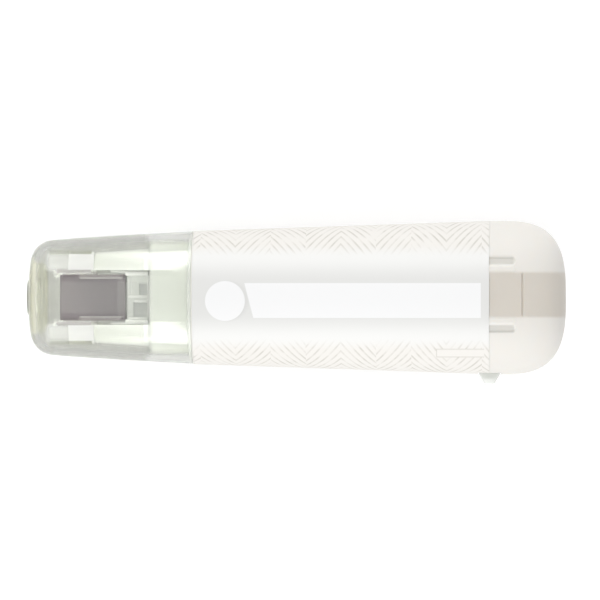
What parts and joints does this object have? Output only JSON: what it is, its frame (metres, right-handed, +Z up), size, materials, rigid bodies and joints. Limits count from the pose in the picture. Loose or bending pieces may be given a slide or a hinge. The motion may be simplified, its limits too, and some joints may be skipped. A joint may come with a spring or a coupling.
{
  "type": "correction tape",
  "caption": "Pen style correction tape: a tapered round barrel with geared tape reels, a flat applicator tip and a clear pull-off cap.",
  "frame": {"origin": "middle of the whole part's footprint, on the surface that the barrel lies on", "axes": "+X towards the tail and away from the tip, +Y across the tape's width, +Z up"},
  "size_m": [0.0863, 0.0259, 0.0244],
  "materials": {
    "clear_cap": "clear moulded plastic, faintly green, glossy",
    "frosted_clear": "natural translucent moulded plastic",
    "white_body": "white moulded plastic, soft gloss",
    "label_film": "printed white film, smooth",
    "cream_tail": "cream moulded plastic, soft gloss",
    "grey_tip": "dark grey moulded plastic, satin",
    "chassis": "off-white moulded plastic",
    "reels_and_gears": "natural acetal, satin",
    "coated_tape": "white coating on a thin film, chalky",
    "bare_film": "thin clear film",
    "spring_steel": "bright spring steel"
  },
  "bodies": {
    "body": {"barrel": "white_body", "label_sleeve": "label_film", "front_collar": "frosted_clear", "nose_frame": "frosted_clear", "applicator_tip": "grey_tip", "tip_holder": "frosted_clear", "cartridge_base": "chassis", "cartridge_cover": "chassis", "feed_tape": "coated_tape", "return_film": "bare_film", "tail_shell": "cream_tail", "release_spring": "spring_steel"},
    "cap": {"cap": "clear_cap"},
    "supply_reel": {"supply_spool": "reels_and_gears", "tape_roll": "coated_tape"},
    "supply_drive": {"supply_gear": "reels_and_gears", "clutch_ring": "spring_steel"},
    "idler": {"idler_gear": "reels_and_gears"},
    "take_up_reel": {"take_up_gear": "reels_and_gears", "take_up_spool": "reels_and_gears", "used_film_roll": "bare_film"},
    "button": {"release_button": "frosted_clear"}
  },
  "joints": [
    {"name": "cap_pull", "type": "slide", "parent": "body", "child": "cap", "axis": [-0.9994, 0, -0.0335], "range_m": [0, 0.03]},
    {"name": "supply_reel_turn", "type": "hinge", "parent": "body", "child": "supply_reel", "pos_m": [0.02389, 0.00075, 0.01195], "axis": [0, 1, 0], "continuous": true},
    {"name": "supply_drive_turn", "type": "hinge", "parent": "body", "child": "supply_drive", "pos_m": [0.02389, 0.00075, 0.01195], "axis": [0, 1, 0], "continuous": true},
    {"name": "idler_turn", "type": "hinge", "parent": "body", "child": "idler", "pos_m": [0.0094, 0.00075, 0.01147], "axis": [0, 1, 0], "continuous": true},
    {"name": "take_up_turn", "type": "hinge", "parent": "body", "child": "take_up_reel", "pos_m": [0.0004, 0.00075, 0.01117], "axis": [0, 1, 0], "continuous": true},
    {"name": "button_press", "type": "slide", "parent": "body", "child": "button", "axis": [0, 1, 0], "range_m": [0, 0.0012], "stiffness_N_per_m": 400, "deforming": ["release_spring"]}
  ],
  "couplings": [
    {"joint": "supply_drive_turn", "follows": "supply_reel_turn", "ratio": 0.88235},
    {"joint": "idler_turn", "follows": "supply_reel_turn", "ratio": -1.25},
    {"joint": "take_up_turn", "follows": "supply_reel_turn", "ratio": 2.5}
  ]
}
